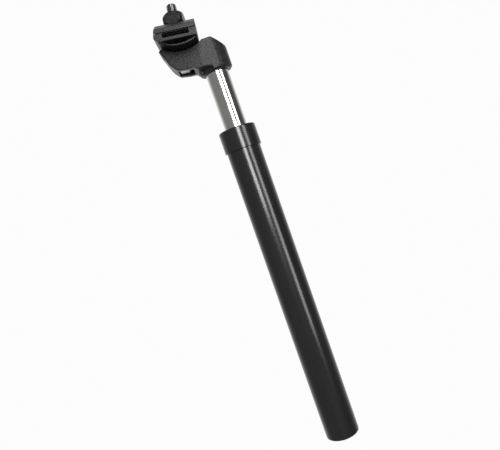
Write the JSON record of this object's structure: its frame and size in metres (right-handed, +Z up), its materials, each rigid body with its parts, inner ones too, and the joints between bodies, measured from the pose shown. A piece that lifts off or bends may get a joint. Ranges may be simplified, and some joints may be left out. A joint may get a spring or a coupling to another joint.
{
  "type": "suspension seatpost",
  "caption": "Telescopic bicycle seatpost with a black lower tube, collar, sprung chrome shaft, set-back head and a serrated single-bolt saddle rail clamp.",
  "frame": {"origin": "centre of the outer tube's bottom end, on the post's axis", "axes": "+Z up the post's axis, +X to the bike's front (the head is set back to -X), Y across the bike"},
  "size_m": [0.0518, 0.054, 0.3652],
  "materials": {
    "black_tube": "black anodised, semi-gloss",
    "black_collar": "black anodised, semi-gloss",
    "seal_rubber": "matte",
    "sleeve_polymer": "acetal",
    "key_brass": "machined",
    "shaft_chrome": "hard chromed, polished",
    "piston_polymer": "natural acetal",
    "band_polymer": "filled PTFE",
    "spring_steel": "oiled spring wire",
    "washer_steel": "zinc plated",
    "elastomer": "polyurethane",
    "plug_alloy": "black anodised",
    "head_alloy": "as-forged, black, mottled matte",
    "clamp_alloy": "black, glossier on the edges",
    "bolt_zinc": "bright zinc plated",
    "nut_black": "black oxide"
  },
  "bodies": {
    "tube": {"outer_tube": "black_tube", "lock_collar": "black_collar", "wiper_seal": "seal_rubber", "guide_sleeve": "sleeve_polymer", "main_spring": "spring_steel"},
    "strut": {"shaft": "shaft_chrome", "guide_keys": "key_brass", "piston": "piston_polymer", "glide_band": "band_polymer", "top_out_ring": "seal_rubber", "spring_cap": "washer_steel", "head": "head_alloy"},
    "preload": {"spring_seat": "washer_steel", "bumper_rod": "elastomer"},
    "plug": {"preload_plug": "plug_alloy", "plug_seal": "seal_rubber"},
    "cradle": {"lower_cradle": "clamp_alloy", "clamp_bolt": "bolt_zinc", "rocker_washer": "washer_steel"},
    "top_clamp": {"upper_clamp": "clamp_alloy", "nut_washer": "washer_steel"},
    "nut": {"clamp_nut": "nut_black"}
  },
  "joints": [
    {"name": "suspension", "type": "slide", "parent": "tube", "child": "strut", "axis": [0, 0, -1], "range_m": [0, 0.04], "stiffness_N_per_m": 15000, "springref_m": -0.012, "deforming": ["main_spring"]},
    {"name": "preload_lift", "type": "slide", "parent": "tube", "child": "preload", "axis": [0, 0, 1], "range_m": [0, 0.008]},
    {"name": "preload_turn", "type": "hinge", "parent": "preload", "child": "plug", "pos_m": [0, 0, 0.015], "axis": [0, 0, 1], "range_deg": [0, 1920]},
    {"name": "clamp_tilt", "type": "hinge", "parent": "strut", "child": "cradle", "pos_m": [-0.0161, 0, 0.353], "axis": [0, 1, 0], "range_deg": [-4, 2.5]},
    {"name": "clamp_open", "type": "slide", "parent": "cradle", "child": "top_clamp", "axis": [0.1253, 0, 0.9921], "range_m": [0, 0.005]},
    {"name": "nut_turn", "type": "hinge", "parent": "top_clamp", "child": "nut", "pos_m": [-0.0199, 0, 0.3364], "axis": [0.1253, 0, 0.9921], "range_deg": [0, 1440]}
  ],
  "couplings": [
    {"joint": "preload_turn", "follows": "preload_lift", "rad_per_m": 4188.8},
    {"joint": "nut_turn", "follows": "clamp_open", "rad_per_m": 5026.5}
  ]
}
